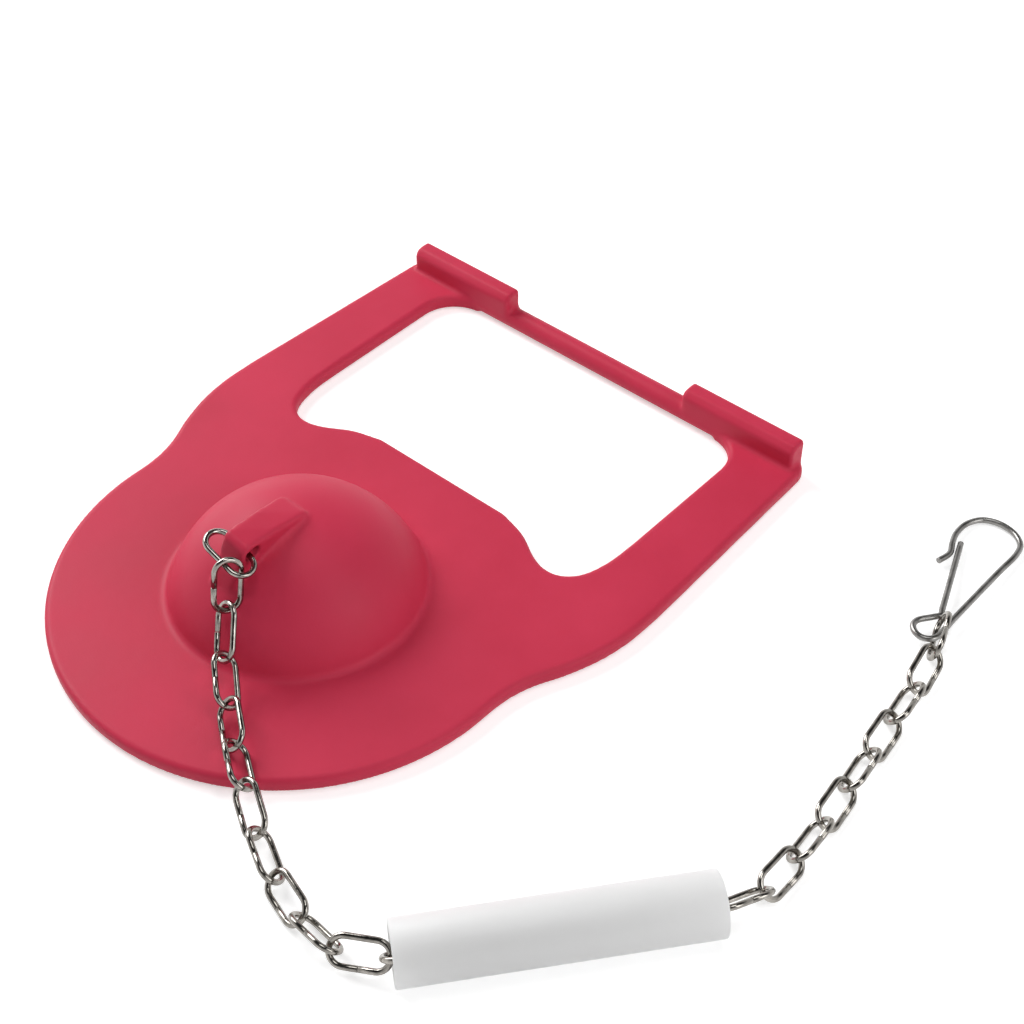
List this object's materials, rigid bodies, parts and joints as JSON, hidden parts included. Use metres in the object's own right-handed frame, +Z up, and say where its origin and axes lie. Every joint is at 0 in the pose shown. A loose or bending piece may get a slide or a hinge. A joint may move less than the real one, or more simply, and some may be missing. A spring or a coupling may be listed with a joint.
{
  "type": "toilet flapper",
  "caption": "Rubber flapper with a domed centre, two arms and a cross bar, a wire-link lift chain, a float tube on the chain and a bent-wire clip at its end.",
  "frame": {"origin": "middle of the base of the part's box, on the plane that the flapper, the chain, the tube and the clip lie on; the disc's centre is at (-0.0287, -0.0270, 0) m", "axes": "+Y from the disc towards the arms and the cross bar, +X towards the side that the chain and the clip lie on, +Z up out of the dome's top"},
  "size_m": [0.1774, 0.171, 0.0283],
  "materials": {
    "red_rubber": "satin",
    "bright_steel": "polished",
    "grey_steel": "satin",
    "white_plastic": "satin"
  },
  "bodies": {
    "flapper": {"flapper": "red_rubber"},
    "link_01": {"link_01": "bright_steel"},
    "link_02": {"link_02": "bright_steel"},
    "link_03": {"link_03": "bright_steel"},
    "link_04": {"link_04": "bright_steel"},
    "link_05": {"link_05": "bright_steel"},
    "link_06": {"link_06": "bright_steel"},
    "link_07": {"link_07": "bright_steel"},
    "link_08": {"link_08": "bright_steel"},
    "link_09": {"link_09": "bright_steel"},
    "link_10": {"link_10": "bright_steel"},
    "link_11": {"link_11": "bright_steel"},
    "link_12": {"link_12": "bright_steel"},
    "link_13": {"link_13": "bright_steel"},
    "link_14": {"link_14": "bright_steel"},
    "link_15": {"link_15": "bright_steel"},
    "link_16": {"link_16": "bright_steel"},
    "link_17": {"link_17": "bright_steel"},
    "link_18": {"link_18": "bright_steel"},
    "link_19": {"link_19": "bright_steel"},
    "link_20": {"link_20": "bright_steel"},
    "link_21": {"link_21": "bright_steel"},
    "link_22": {"link_22": "bright_steel"},
    "link_23": {"link_23": "bright_steel"},
    "link_24": {"link_24": "bright_steel"},
    "link_25": {"link_25": "bright_steel"},
    "link_26": {"link_26": "bright_steel"},
    "float_tube": {"float_tube": "white_plastic"},
    "chain_clip": {"chain_clip": "grey_steel"}
  },
  "joints": [
    {"name": "link_01_swing", "type": "hinge", "parent": "flapper", "child": "link_01", "pos_m": [-0.0276, -0.04101, 0.02474], "axis": [-0.9397, 0, 0.342], "range_deg": [0, 13]},
    {"name": "link_02_swing", "type": "hinge", "parent": "link_01", "child": "link_02", "pos_m": [-0.02598, -0.0463, 0.02452], "axis": [-0.9397, 0, 0.342], "range_deg": [0, 11]},
    {"name": "link_03_swing", "type": "hinge", "parent": "link_02", "child": "link_03", "pos_m": [-0.02442, -0.04857, 0.01616], "axis": [0, 0, 1], "range_deg": [-20, 10]},
    {"name": "link_04_swing", "type": "hinge", "parent": "link_03", "child": "link_04", "pos_m": [-0.01988, -0.05427, 0.00991], "axis": [0, 0, -1], "range_deg": [-10, 20]},
    {"name": "link_05_swing", "type": "hinge", "parent": "link_04", "child": "link_05", "pos_m": [-0.01291, -0.06011, 0.00686], "axis": [0, 0, -1], "range_deg": [-10, 20]},
    {"name": "link_06_swing", "type": "hinge", "parent": "link_05", "child": "link_06", "pos_m": [-0.00511, -0.06567, 0.00629], "axis": [0, 0, 1], "range_deg": [-25, 12]},
    {"name": "link_07_swing", "type": "hinge", "parent": "link_06", "child": "link_07", "pos_m": [0.003, -0.07087, 0.00619], "axis": [0, 0, 1], "range_deg": [-25, 12]},
    {"name": "link_08_swing", "type": "hinge", "parent": "link_07", "child": "link_08", "pos_m": [0.01116, -0.0754, 0.00395], "axis": [0, 0, -1], "range_deg": [-10, 25]},
    {"name": "link_09_swing", "type": "hinge", "parent": "link_08", "child": "link_09", "pos_m": [0.01971, -0.07952, 0.00244], "axis": [0, 0, -1], "range_deg": [-10, 25]},
    {"name": "link_10_swing", "type": "hinge", "parent": "link_09", "child": "link_10", "pos_m": [0.02891, -0.08222, 0.00264], "axis": [0, 0, 1], "range_deg": [-25, 9]},
    {"name": "link_11_swing", "type": "hinge", "parent": "link_10", "child": "link_11", "pos_m": [0.03838, -0.08332, 0.0037], "axis": [0, 0, 1], "range_deg": [-25, 9]},
    {"name": "link_12_swing", "type": "hinge", "parent": "link_11", "child": "link_12", "pos_m": [0.04686, -0.07898, 0.00477], "axis": [0, 0, -1], "range_deg": [-9, 20]},
    {"name": "link_13_swing", "type": "hinge", "parent": "link_12", "child": "link_13", "pos_m": [0.05312, -0.07167, 0.00485], "axis": [0, 0, 1], "range_deg": [-4, 1]},
    {"name": "link_14_swing", "type": "hinge", "parent": "link_13", "child": "link_14", "pos_m": [0.05901, -0.06406, 0.00481], "axis": [0, 0, -1], "range_deg": [-0.5, 1.5]},
    {"name": "link_15_swing", "type": "hinge", "parent": "link_14", "child": "link_15", "pos_m": [0.065, -0.05657, 0.00481], "axis": [0, 0, 1], "range_deg": [-0.7, 0.3]},
    {"name": "link_16_swing", "type": "hinge", "parent": "link_15", "child": "link_16", "pos_m": [0.07103, -0.04905, 0.00481], "axis": [0, 0, -1], "range_deg": [-0.2, 0.7]},
    {"name": "link_17_swing", "type": "hinge", "parent": "link_16", "child": "link_17", "pos_m": [0.0771, -0.04156, 0.00487], "axis": [0, 0, 1], "range_deg": [-1.5, 0]},
    {"name": "link_18_swing", "type": "hinge", "parent": "link_17", "child": "link_18", "pos_m": [0.08299, -0.03399, 0.00459], "axis": [0, 0, -1], "range_deg": [0, 4]},
    {"name": "link_19_swing", "type": "hinge", "parent": "link_18", "child": "link_19", "pos_m": [0.08627, -0.0251, 0.00307], "axis": [0, 0, 1], "range_deg": [-25, 12]},
    {"name": "link_20_swing", "type": "hinge", "parent": "link_19", "child": "link_20", "pos_m": [0.08614, -0.01553, 0.00255], "axis": [0, 0, 1], "range_deg": [-25, 12]},
    {"name": "link_21_swing", "type": "hinge", "parent": "link_20", "child": "link_21", "pos_m": [0.08545, -0.00596, 0.00258], "axis": [0, 0, -1], "range_deg": [-12, 25]},
    {"name": "link_22_swing", "type": "hinge", "parent": "link_21", "child": "link_22", "pos_m": [0.08434, 0.00359, 0.00258], "axis": [0, 0, -1], "range_deg": [-12, 25]},
    {"name": "link_23_swing", "type": "hinge", "parent": "link_22", "child": "link_23", "pos_m": [0.0831, 0.01312, 0.00258], "axis": [0, 0, 1], "range_deg": [-25, 12]},
    {"name": "link_24_swing", "type": "hinge", "parent": "link_23", "child": "link_24", "pos_m": [0.08193, 0.0227, 0.00258], "axis": [0, 0, 1], "range_deg": [-25, 12]},
    {"name": "link_25_swing", "type": "hinge", "parent": "link_24", "child": "link_25", "pos_m": [0.08068, 0.03227, 0.00265], "axis": [0, 0, -1], "range_deg": [-12, 25]},
    {"name": "link_26_swing", "type": "hinge", "parent": "link_25", "child": "link_26", "pos_m": [0.07909, 0.0417, 0.00337], "axis": [0, 0, -1], "range_deg": [-12, 25]},
    {"name": "float_tube_slide", "type": "slide", "parent": "link_15", "child": "float_tube", "axis": [0.6252, 0.7804, 0], "range_m": [-0.003, 0]},
    {"name": "chain_clip_swing", "type": "hinge", "parent": "link_26", "child": "chain_clip", "pos_m": [0.07816, 0.04414, 0.00338], "axis": [0.8773, 0.3368, -0.342], "range_deg": [0, 28]}
  ]
}
